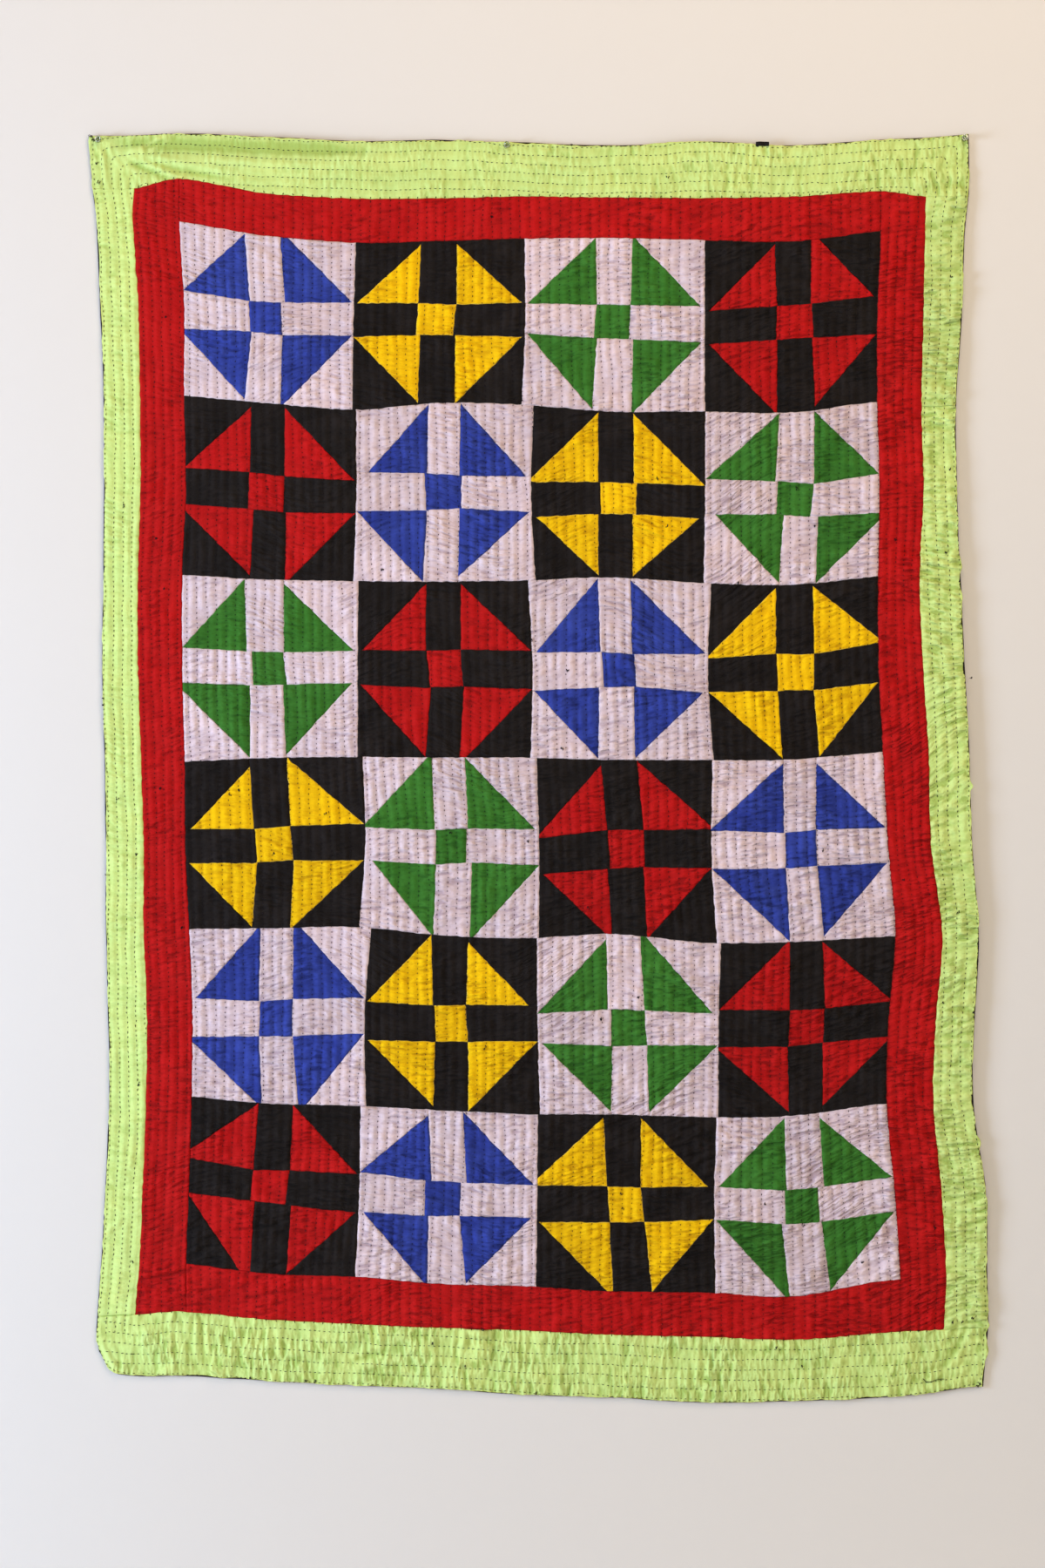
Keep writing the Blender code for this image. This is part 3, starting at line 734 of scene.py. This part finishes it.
def borders(cottons):
    """The red border and the lime one round it, each of strips cut and pieced as their seams show."""

    def level(number):
        return lambda x: level_height(number, x)

    upper_join, lower_join = RIGHT_LIME_JOINS
    join = constant(BOTTOM_LIME_JOIN)
    left, right, top, bottom = (
        ragged(edge, seed)
        for edge, seed in ((left_edge, 61), (bumpy(right_edge), 63), (top_edge, 65), (bottom_edge, 67))
    )
    strips = {
        "red_top": (blocks_left, blocks_right, lime_top_seam, row_seams[0]),
        "red_bottom": (blocks_left, blocks_right, row_seams[6], lime_bottom_seam),
        "red_left": (lime_left_seam, blocks_left, lime_top_seam, lime_bottom_seam),
        "red_right": (blocks_right, lime_right_seam, lime_top_seam, lime_bottom_seam),
        "lime_top": (left, right, top, lime_top_seam),
        "lime_left": (left, lime_left_seam, lime_top_seam, lime_bottom_seam),
        "lime_right_upper": (lime_right_seam, right, lime_top_seam, level(upper_join)),
        "lime_right_middle": (lime_right_seam, right, level(upper_join), level(lower_join)),
        "lime_right_lower": (lime_right_seam, right, level(lower_join), lime_bottom_seam),
        "lime_bottom_left": (left, join, lime_bottom_seam, bottom),
        "lime_bottom_right": (join, right, lime_bottom_seam, bottom),
    }
    for name, sides in strips.items():
        colour = name.split("_")[0]
        runs_across = name.startswith(("lime_top", "lime_bottom"))
        bm = bmesh.new()
        lay_patch(bm, *sides, rows_run_across=runs_across)
        tone_patches(bm, random.Random(name))
        hung(name, bm, [cottons[colour]], colour == "lime", runs_across)


def backing_cloth(cotton):
    """The black cloth behind, a little larger than the top."""

    def outward(line, sign, seed):
        return lambda at: line(at) + sign * BACKING_SHOWS * (1 + 0.9 * hills(at / 38, at * 0 + 0.5, seed))

    edges = ((left_edge, -1, 51), (right_edge, 1, 52), (top_edge, 1, 53), (bottom_edge, -1, 54))
    bm = bmesh.new()
    made = bmesh.ops.create_grid(bm, x_segments=240, y_segments=62, size=0.5)["verts"]
    flat = np.array([vert.co[:2] for vert in made])
    across, down = flat[:, 0] + 0.5, 0.5 - flat[:, 1]
    x, z = mix(-650, 740, across), mix(0, -2000, down)
    x, z = spread([outward(*edge) for edge in edges], across, down, x, z)
    puff = np.where(in_lime(x, z), off_rows(x, z, True), off_rows(x, z, False))
    depth = lie(x, z) + BACKING - BACK_PUFF * np.sin(np.minimum(puff, 1) * math.pi / 2)
    for vert, place in zip(made, zip(x, -depth, z)):
        vert.co = Vector(place) * MM
    backing = finished("backing_cloth", bm, [cotton])
    thicken(backing, 0.9)
    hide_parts("backing")


# ---------------------------------------------------------------- running stitch


class Stitching:
    """Short stitches of thread, sewn a few at a time into one joined mesh."""

    def __init__(self, name, seed):
        self.name, self.rng = name, random.Random(seed)
        self.whole, self.few, self.scratch = bmesh.new(), bmesh.new(), bpy.data.meshes.new("few stitches")

    def strand(self, x, z, depth, angle, length, width):
        """One short length of thread, lying on the cloth."""
        place = Vector((x, -(depth + 0.3), z)) * MM
        size = Matrix.Diagonal((width / 2 * MM, 0.5 * MM, length / 2 * MM, 1))
        matrix = Matrix.Translation(place) @ Matrix.Rotation(angle, 4, "Y") @ size
        bmesh.ops.create_uvsphere(self.few, u_segments=3, v_segments=2, radius=1, matrix=matrix)

    def sew(self, xs, zs, angles, border):
        """A row of stitches at these places, each turned by its angle from upright."""
        rng = self.rng
        for count, (x, z, angle, depth) in enumerate(zip(xs, zs, angles, stitch_depth(xs, zs, border))):
            if count % SEWN_AT_ONCE == 0:
                self.gather()
            length = (LONG_STITCH if border else STITCH) * rng.uniform(0.7, 1.2)
            width = (LONG_THREAD if border else THREAD) * rng.uniform(0.8, 1.15)
            self.strand(x + rng.gauss(0, 0.4), z, depth, angle + rng.gauss(0, 0.12), length, width)

    def tangle(self, x, z, count, length, width, spread=math.pi):
        """A knot or a tuft: short lengths of thread across each other, upright or spread all ways."""
        border = in_lime(x, z)
        for _ in range(count):
            near_x, near_z = x + self.rng.gauss(0, 0.25 * length), z + self.rng.gauss(0, 0.25 * length)
            depth = float(stitch_depth(np.array([near_x]), np.array([near_z]), border)[0])
            turn, reach = self.rng.uniform(-spread, spread) / 2, length * self.rng.uniform(0.6, 1.2)
            self.strand(near_x, near_z, depth, turn, reach, width)

    def gather(self):
        """Adds the last few stitches to the whole."""
        self.few.to_mesh(self.scratch)
        self.few.clear()
        self.whole.from_mesh(self.scratch)

    def finish(self, thread):
        self.gather()
        self.few.free()
        bpy.data.meshes.remove(self.scratch)
        finished(self.name, self.whole, [thread])


def spaced(rng, start, end):
    """Places of stitches from start down to end."""
    places, at = [], start - rng.uniform(0, STITCH_PITCH)
    while at > end:
        places.append(at)
        at -= STITCH_PITCH * rng.uniform(0.86, 1.14)
    return np.array(places)


def stitch_rows_down(thread):
    """Rows that run down through the blocks and the red border, one object to each column."""
    names = ("stitches_red_left", *(f"stitches_column_{i}" for i in range(1, 5)), "stitches_red_right")
    for i, (name, count) in enumerate(zip(names, STITCH_ROWS)):
        sewing = Stitching(name, 100 + i)
        before = sum(STITCH_ROWS[:i])
        for k in range(math.ceil(count)):
            share = (math.floor(before + 0.5) + k + 0.5 - before) / count
            if i == 5 and share == 1:
                continue
            middle = mix(stitch_guides[i](-1000.0), stitch_guides[i + 1](-1000.0), share)
            z = spaced(sewing.rng, float(lime_top_seam(middle)) - 2, float(lime_bottom_seam(middle)) + 2)
            x = mix(stitch_guides[i](z), stitch_guides[i + 1](z), share)
            x = x - 1 if share == 1 else x + wander(x, z)
            sewing.sew(x, z, np.arctan(np.gradient(x, z)), False)
            ends = np.array([lime_top_seam(x[0]) + 1.5, lime_bottom_seam(x[-1]) - 0.5])
            for place in zip(x[[0, -1]], ends, face_depth(x[[0, -1]], ends, True)):
                sewing.strand(*place, sewing.rng.gauss(0, 0.3), 5.0, 1.8)
        if i == 0:
            z = spaced(sewing.rng, -76.0, -122.0)
            sewing.sew(blocks_left(z), z, np.zeros(len(z)), False)
        sewing.finish(thread)


def rim_row(row):
    """Places and angles of a row that runs round the lime border, counted in from the edge."""

    def off(x, z):
        x, z = np.array(x), np.array(z)
        return float(from_rim(x, z) - wander(x, z) / ROW_PITCH) - row

    x, z = -640.0 + row * ROW_PITCH, -1000.0
    first, places = None, []
    while len(places) < MOST_STITCHES:
        here = off(x, z)
        slope = Vector((off(x + 0.5, z) - here, off(x, z + 0.5) - here)) * 2
        x, z = x - here * slope.x / slope.length_squared, z - here * slope.y / slope.length_squared
        run = Vector((-slope.y, slope.x)).normalized()
        if first is None:
            first = Vector((x, z))
        elif len(places) > 20 and (Vector((x, z)) - first).length < STITCH_PITCH * 0.7:
            break
        places.append((x, z, math.atan2(run.x, run.y)))
        x, z = x + run.x * STITCH_PITCH, z + run.y * STITCH_PITCH
    return np.array(places)


def stitch_rows_round(thread):
    """Rows that run round the lime border, turning its corners."""
    sewing = Stitching("stitches_lime", 200)
    for k in range(6):
        x, z, angle = rim_row(k).T
        # In the two lower corners the rows of the foot run straight out, and those of the sides stop.
        turns_left, turns_right = -656 + RIM_PITCHES[0] * (k + 1.8), 764 - RIM_PITCHES[1] * (k + 1.8)
        in_corner = (z < -1890) & (x > turns_right) | ((z < -1908) | (z < -1880) & (k > 3)) & (x < turns_left)
        kept = in_lime(x, z, 3) & ~((k > 0) & in_corner)
        sewing.sew(x[kept], z[kept], angle[kept], True)
        for start, end in ((758.0, turns_right), (turns_left, -646.0)) if k else ():
            x = spaced(sewing.rng, start, end)
            z = bottom_edge(x) + FIRST_ROW_FROM_EDGE + k * RIM_PITCHES[3]
            sewing.sew(x, z + wander(x, z), np.full(len(x), math.pi / 2), True)
    sewing.finish(thread)


def knots_and_loose_ends(thread):
    """Knots, tufts of frayed backing and one loose end of thread."""
    sewing = Stitching("knots_and_loose_ends", 300)
    for x, z in KNOTS:
        sewing.tangle(x, z, 4, 4.4, 1.9, 1.0)
    for x, z, reach in TUFTS:
        sewing.tangle(x, z, 9, reach, 1.1)
    x, z = np.array(LOOSE_END, float).T
    along = np.linspace(0, len(x) - 1, 26)
    x, z = np.interp(along, range(len(x)), x), np.interp(along, range(len(z)), z)
    for place, angle in zip(zip(x, z, stitch_depth(x, z, True)), np.arctan2(np.gradient(x), np.gradient(z))):
        sewing.strand(*place, angle, 3.2, 1.3)
    sewing.finish(thread)


def backing_flap(cotton):
    """A scrap of the backing that has folded forward over the top edge."""
    bm = bmesh.new()
    bmesh.ops.create_grid(bm, x_segments=10, y_segments=4, size=0.5, matrix=Matrix.Diagonal((21, 7, 1, 1)))
    for vert in bm.verts:
        x, z = 410 + vert.co.x, 1.5 + vert.co.y - 0.004 * vert.co.x**2
        off = 0.9 + 0.9 * float(hills(np.array(x / 5), np.array(z / 4), 71))
        vert.co = Vector((x, -float(face_depth(x, z, True)) - off, z)) * MM
    bmesh.ops.reverse_faces(bm, faces=[face for face in bm.faces if face.normal.y > 0])
    flap = finished("backing_flap", bm, [cotton])
    thicken(flap, 0.8)


# ---------------------------------------------------------------- materials


def srgb(code):
    """A colour written as sRGB hex, turned to linear."""
    parts = [int(code[i : i + 2], 16) / 255 for i in (1, 3, 5)]
    return (*(p / 12.92 if p <= 0.04045 else ((p + 0.055) / 1.055) ** 2.4 for p in parts), 1.0)


def add(tree, kind, inputs=(), **settings):
    """Adds a node with its settings. An input is a value, a socket, or a node whose first output in use feeds it."""
    node = tree.nodes.new("ShaderNode" + kind)
    for name, value in settings.items():
        setattr(node, name, value)
    for name, value in dict(inputs).items():
        if isinstance(value, bpy.types.Node):
            value = next(socket for socket in value.outputs if socket.enabled)
        if isinstance(value, bpy.types.NodeSocket):
            tree.links.new(value, node.inputs[name])
        else:
            node.inputs[name].default_value = value
    return node


def new_material(name):
    """An empty material, its nodes, and the places on the object that its patterns are laid out by."""
    made = bpy.data.materials.new(name)
    made.use_nodes = True
    made.node_tree.nodes.clear()
    return made, made.node_tree, add(made.node_tree, "TexCoord").outputs["Object"]


def plain_weave_cotton(name, colour, faded, wear_and_painted_light, crease_shade_colour, mottle=0.5):
    """Plain-weave cotton, dyed in the piece, washed and handled: matt, with slubs where a thread runs thick, a
    cloudy fade, a rim colour where a seam rolls over that is partly lint worn pale and partly painted highlight (on
    the red a dark painted shadow line), painted shade down in the creases, and a slightly different tone in each
    patch."""
    made, tree, place = new_material(name)

    # The dye has gone unevenly, in clouds some 4 cm wide.
    clouds = add(tree, "TexNoise", {"Vector": place, "Scale": 1 / 0.04, "Detail": 5.0, "Roughness": 0.65})
    cloudy = add(tree, "MapRange", {0: clouds, 1: 0.38, 2: 0.62, 4: mottle})
    shade = add(tree, "Mix", {0: cloudy, 6: srgb(colour), 7: srgb(faded)}, data_type="RGBA")
    # Slubs: threads 0.4 mm thick for some 14 mm, drawn three times coarser than they are so that they show.
    thick, long = 1 / 0.0011, 1 / 0.014
    weft_place = add(tree, "Mapping", {"Vector": place, "Scale": (long, thick, thick)})
    warp_place = add(tree, "Mapping", {"Vector": place, "Scale": (thick, thick, long)})
    weft = add(tree, "TexNoise", {"Vector": weft_place, "Scale": 1.0})
    warp = add(tree, "TexNoise", {"Vector": warp_place, "Scale": 1.0})
    threads = add(tree, "Math", {0: weft, 1: warp}, operation="ADD")
    slubs = add(tree, "MapRange", {0: threads, 1: 1.02, 2: 1.4, 4: 0.14})
    shade = add(tree, "Mix", {0: slubs, 6: shade, 7: srgb(faded)}, data_type="RGBA")
    # Creases that cross the stitching, 5 to 6 mm apart and some 24 mm long, deeper in some places than in others,
    # and a finer crumple all ways.
    lay = add(tree, "Attribute", attribute_name="lay").outputs["Vector"]
    crossing = add(tree, "Mapping", {"Vector": lay, "Scale": (1 / 24, 1 / 5.6, 1)})
    crinkle = add(tree, "TexNoise", {"Vector": crossing, "Scale": 1.0, "Detail": 1.0, "Roughness": 0.4})
    crumple = add(tree, "TexNoise", {"Vector": place, "Scale": 1 / 0.006, "Detail": 1.5, "Roughness": 0.5})
    both = add(tree, "Mix", {0: 0.15, 2: crinkle, 3: crumple}, data_type="FLOAT")
    gather = add(tree, "Attribute", attribute_name="gather").outputs["Fac"]
    broad = add(tree, "TexNoise", {"Vector": place, "Scale": 1 / 0.06, "Detail": 0.0})
    here = add(tree, "MapRange", {0: broad, 1: 0.35, 2: 0.62, 3: 0.4, 4: 1.15})
    pull = add(tree, "Math", {0: gather, 1: here}, operation="MULTIPLY")
    height = add(tree, "Math", {0: both, 1: pull}, operation="MULTIPLY")
    # Painted shade: down in a crease, or low between two puffs, the colour is drawn towards its darker crease-shade
    # colour.
    low = add(tree, "Attribute", attribute_name="painted_hollow_shade").outputs["Fac"]
    in_crease = add(tree, "MapRange", {0: both, 1: 0.48, 2: 0.34, 4: 0.8})
    depth = add(tree, "Math", {0: in_crease, 1: pull, 2: low}, operation="MULTIPLY_ADD", use_clamp=True)
    painted_crease_shade = add(tree, "Math", {0: depth, 1: 0.6}, operation="MULTIPLY")
    shade = add(tree, "Mix", {0: painted_crease_shade, 6: shade, 7: srgb(crease_shade_colour)}, data_type="RGBA")
    # Each patch has a tone of its own. Rolled seam rims, and on the lime the fold ridges, take the rim colour:
    # partly lint where the cloth is rubbed, partly painted highlight, and on the red a dark painted shadow line.
    tone = add(tree, "Attribute", attribute_name="tone").outputs["Fac"]
    level = add(tree, "Math", {0: tone, 1: 0.06, 2: 0.98}, operation="MULTIPLY_ADD")
    toned = add(tree, "VectorMath", {0: shade, "Scale": level}, operation="SCALE")
    edge = add(tree, "Attribute", attribute_name="wear_and_painted_light").outputs["Fac"]
    rim_wear_and_light_here = add(tree, "MapRange", {0: crumple, 1: 0.35, 2: 0.6, 3: 0.2, 4: 0.6})
    rim_wear_and_light = add(tree, "Math", {0: edge, 1: rim_wear_and_light_here}, operation="MULTIPLY")
    shade = add(tree, "Mix", {0: rim_wear_and_light, 6: toned, 7: srgb(wear_and_painted_light)}, data_type="RGBA")
    crinkled = add(tree, "Bump", {"Height": height, "Strength": 1.0, "Distance": 0.006})
    weave = add(tree, "Bump", {"Height": threads, "Strength": 0.4, "Distance": 0.0004, "Normal": crinkled})
    shader = add(
        tree, "BsdfPrincipled",
        {
            "Base Color": shade, "Roughness": 0.92, "Specular IOR Level": 0.12, "Sheen Weight": 0.06,
            "Sheen Roughness": 0.5, "Sheen Tint": srgb(wear_and_painted_light), "Normal": weave,
        },
    )
    add(tree, "OutputMaterial", {"Surface": shader})
    return made


def sewing_thread():
    """Two-ply cotton thread, dyed black and dulled by washing, so it is fuzzy and not quite black."""
    made, tree, place = new_material("cotton thread")
    ply = add(tree, "TexNoise", {"Vector": place, "Scale": 1 / 0.012, "Detail": 2.0})
    shade = add(tree, "Mix", {0: ply, 6: srgb("#151116"), 7: srgb("#2a2328")}, data_type="RGBA")
    shader = add(tree, "BsdfPrincipled", {"Base Color": shade, "Roughness": 0.95, "Specular IOR Level": 0.08})
    add(tree, "OutputMaterial", {"Surface": shader})
    return made


def clear_acrylic():
    """Injection-moulded clear acrylic: smooth, hard and see-through, with a faint grey from handling."""
    made, tree, place = new_material("clear acrylic")
    smears = add(tree, "TexNoise", {"Vector": place, "Scale": 1 / 0.003, "Detail": 3.0})
    dulled = add(tree, "MapRange", {0: smears, 1: 0.3, 2: 0.8, 3: 0.03, 4: 0.14})
    looks = {"Base Color": srgb("#eef1f0"), "Roughness": dulled, "IOR": 1.49, "Transmission Weight": 1.0}
    add(tree, "OutputMaterial", {"Surface": add(tree, "BsdfPrincipled", looks)})
    return made


def drawn_steel():
    """Drawn steel wire, ground to a point: bright, with fine lines along its length."""
    made, tree, place = new_material("drawn steel")
    scaled = add(tree, "Mapping", {"Vector": place, "Scale": (5000, 200, 5000)})
    lines = add(tree, "TexNoise", {"Vector": scaled, "Scale": 1.0})
    rough = add(tree, "MapRange", {0: lines, 3: 0.2, 4: 0.38})
    looks = {"Base Color": srgb("#c8c8c6"), "Metallic": 1.0, "Roughness": rough}
    add(tree, "OutputMaterial", {"Surface": add(tree, "BsdfPrincipled", looks)})
    return made


# ---------------------------------------------------------------- the room


def wall_and_floor():
    """A pale painted wall right behind the quilt, seen from the front only, and a pale floor below. The wall holds
    no light back, so that the quilt's back can be looked at."""
    wall_paint, tree, place = new_material("wall paint")
    grain = add(tree, "TexNoise", {"Vector": place, "Scale": 1 / 0.02, "Detail": 4.0})
    bump = add(tree, "Bump", {"Height": grain, "Strength": 0.15, "Distance": 0.001})
    shader = add(tree, "BsdfPrincipled", {"Base Color": srgb("#d8d6cf"), "Roughness": 0.75, "Normal": bump})
    behind = add(tree, "NewGeometry").outputs["Backfacing"]
    one_sided = add(tree, "MixShader", {0: behind, 1: shader, 2: add(tree, "BsdfTransparent")})
    add(tree, "OutputMaterial", {"Surface": one_sided})
    floor_paint, tree, place = new_material("floor paint")
    shader = add(tree, "BsdfPrincipled", {"Base Color": srgb("#e4e2df"), "Roughness": 0.6})
    add(tree, "OutputMaterial", {"Surface": shader})

    upright = Matrix.Rotation(math.pi / 2, 4, "X")
    for name, paint, turn, place, size in (
        ("wall", wall_paint, upright, (0.03, 0.0006, 0.9), (9, 7)),
        ("floor", floor_paint, Matrix.Identity(4), (0.03, -1.5, -2.6), (9, 8)),
    ):
        bm = bmesh.new()
        matrix = Matrix.Translation(place) @ turn @ Matrix.Diagonal((*size, 1, 1))
        bmesh.ops.create_grid(bm, x_segments=1, y_segments=1, size=0.5, matrix=matrix)
        plane = mesh_object(name, bm, [paint])
        plane.visible_shadow = name != "wall"


def soft_light(name, place, aim, size, power, colour):
    light = bpy.data.lights.new(name, "AREA")
    light.shape, light.size, light.size_y = "RECTANGLE", *size
    light.energy, light.color = power, srgb(colour)[:3]
    lamp = in_scene(bpy.data.objects.new(name, light))
    lamp.location = place
    lamp.rotation_euler = (Vector(aim) - Vector(place)).to_track_quat("-Z", "Y").to_euler()


def studio():
    """Daylight from a window on the left, warmer light from above on the right, a pale room, and a lamp that shows
    the quilt's back."""
    soft_light("window", (-4.4, -2.0, -1.0), (0.0, 0, -1.4), (1.5, 1.9), 272, "#cfe0ff")
    soft_light("ceiling", (0.6, -2.4, 1.9), (0.1, 0, -0.7), (2.8, 1.2), 63, "#ffe0bc")
    soft_light("room", (2.0, -3.6, -0.1), (0.4, 0, -0.8), (2.4, 2.0), 54, "#fff0e0")
    soft_light("behind", (1.6, 2.4, 0.2), (0, 0, -1.0), (1.0, 1.0), 90, "#fff4ea")
    world = bpy.data.worlds.new("room")
    bpy.context.scene.world = world
    world.use_nodes = True
    background = world.node_tree.nodes["Background"].inputs
    background["Color"].default_value, background["Strength"].default_value = srgb("#eceae6"), 0.16


def natural_colours():
    """Shows colours as they are, without a film curve that would wash out the yellow and the reds."""
    bpy.context.scene.view_settings.view_transform = "Standard"


def camera():
    """Square on to the quilt, five metres away, with the quilt upright in the frame."""
    lens = bpy.data.cameras.new("camera")
    lens.lens, lens.sensor_width = 71.4, 36
    made = in_scene(bpy.data.objects.new("camera", lens))
    made.location, made.rotation_euler = (0.0252, -5, -1.0254), (math.pi / 2, 0, 0)
    bpy.context.scene.camera = made


# Each cotton's colour, where it has faded, its rim colour on rolled seams and fold ridges (partly wear, partly
# painted highlight; on the red a painted shadow line), its painted shade deep in a crease, and how far the fade
# goes.
COTTONS = {
    "lilac": ("#dac5c6", "#d5cad6", "#f1e7e7", "#8c7482", 0.5),
    "black": ("#191513", "#292422", "#403a37", "#080707"),
    "red": ("#b01011", "#bd1c1a", "#7c0c0b", "#5e0505"),
    "lime": ("#c6e188", "#cedd7c", "#e6da66", "#86a43c", 0.4),
    "blue": ("#2b3a8e", "#3d4fa8", "#5a6ab0", "#0c123c"),
    "yellow": ("#ebbb02", "#f2c80c", "#fae070", "#a06c02"),
    "green": ("#356f24", "#448234", "#6ca058", "#143a0c"),
}


def main():
    natural_colours()
    camera()
    studio()
    wall_and_floor()
    cottons = {dye: plain_weave_cotton(dye + " plain-weave cotton", *shades) for dye, shades in COTTONS.items()}
    backing = plain_weave_cotton("black backing cotton", "#1b1817", "#24201f", "#3a3532", "#100e0d")
    thread = sewing_thread()
    backing_cloth(backing)
    borders(cottons)
    for row in range(6):
        for column in range(4):
            pieced_block(row, column, cottons)
    stitch_rows_down(thread)
    stitch_rows_round(thread)
    knots_and_loose_ends(thread)
    backing_flap(backing)
    acrylic, steel = clear_acrylic(), drawn_steel()
    for side in PINS:
        for node, made in ((f"pin_head_{side}", acrylic), (f"pin_needle_{side}", steel)):
            pin = bpy.data.objects[node]
            pin.data.materials.clear()
            pin.data.materials.append(made)


main()
